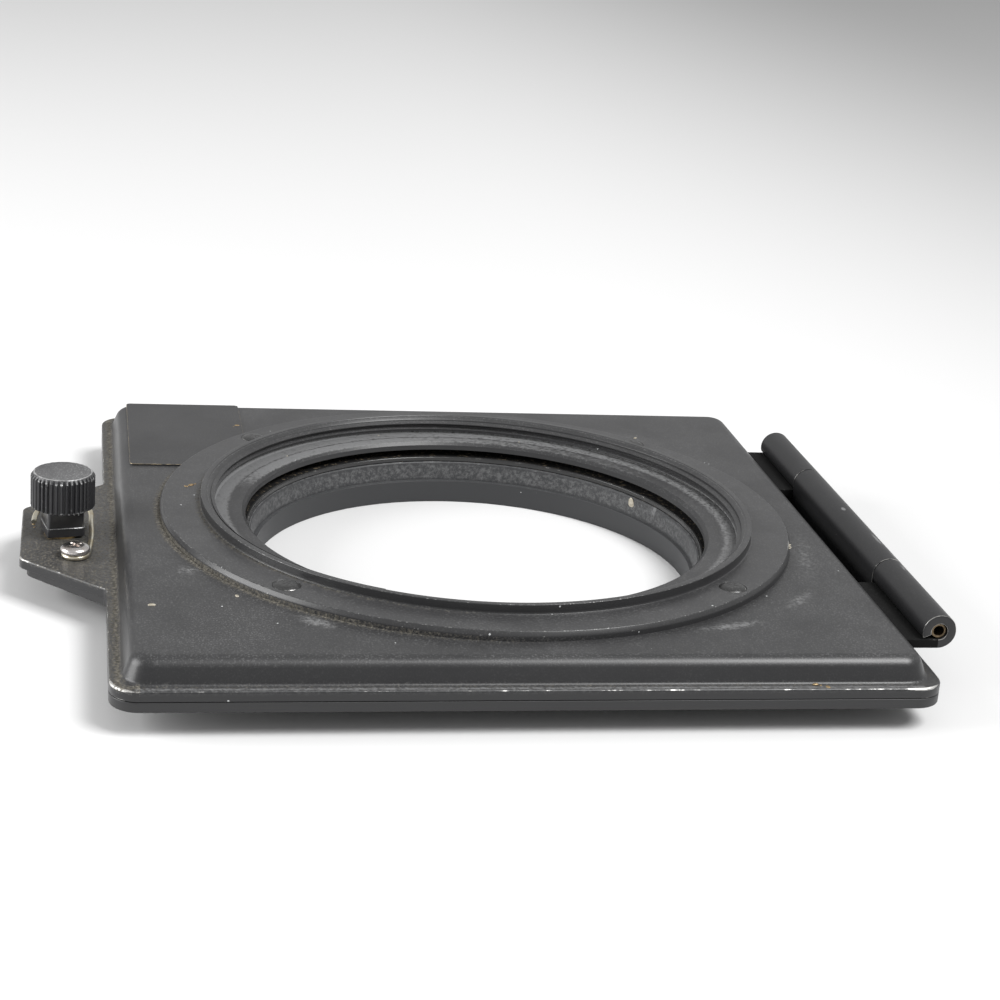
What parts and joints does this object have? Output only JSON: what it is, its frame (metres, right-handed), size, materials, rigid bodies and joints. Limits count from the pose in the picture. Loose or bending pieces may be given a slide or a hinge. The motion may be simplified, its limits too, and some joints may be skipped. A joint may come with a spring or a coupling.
{
  "type": "square filter holder",
  "caption": "Hinged square holder for thin gelatin filters, with a threaded lens ring behind, a threaded front ring and a twist latch.",
  "frame": {"origin": "on the lens axis, at the end of the rear lens thread, which is the face that the holder stands on", "axes": "+Z along the lens axis towards the subject side, +X from the latch to the hinge, +Y along the hinge pin away from the pictured side"},
  "size_m": [0.0998, 0.086, 0.0125],
  "materials": {
    "black_frame": "satin black paint on pressed sheet, edges rubbed bright",
    "black_ring": "matt black anodising on turned aluminium",
    "black_screw": "blackened steel with paint in the recess",
    "felt": "black felt",
    "hinge_tube": "tarnished thin tube",
    "label_black": "thin black plate with brass-coloured worn edges, blank",
    "spring_steel": "thin spring leaf",
    "brass_bush": "plain turned",
    "spring_wire": "drawn wire, yellowed plating",
    "bright_screw": "bright plated",
    "knob_black": "satin black, flute edges rubbed bright",
    "latch_steel": "turned steel"
  },
  "bodies": {
    "rear": {"rear_frame": "black_frame", "filter_guide_1": "black_frame", "filter_guide_2": "black_frame", "filter_guide_3": "black_frame", "filter_guide_4": "black_frame", "rear_ring": "black_ring", "rear_ring_screws": "black_screw", "light_seal": "felt", "hinge_pin": "hinge_tube"},
    "front": {"front_frame": "black_frame", "hinge_leaf_front": "black_frame", "hinge_leaf_back": "black_frame", "front_ring": "black_ring", "front_ring_screws": "black_screw", "label_plate": "label_black", "filter_spring_left": "spring_steel", "filter_spring_right": "spring_steel", "latch_bush": "brass_bush", "latch_spring": "spring_wire", "latch_screw": "bright_screw"},
    "knob": {"latch_knob": "knob_black", "latch_cam": "knob_black", "latch_spindle": "latch_steel", "latch_clip": "latch_steel", "latch_dog": "latch_steel"}
  },
  "joints": [
    {"name": "frame_hinge", "type": "hinge", "parent": "rear", "child": "front", "pos_m": [0.04555, 0, 0.00697], "axis": [0, 1, 0], "range_deg": [0, 180]},
    {"name": "latch_turn", "type": "hinge", "parent": "front", "child": "knob", "pos_m": [-0.04774, 0, 0.007], "axis": [0, 0, 1], "range_deg": [-12, 78]}
  ]
}
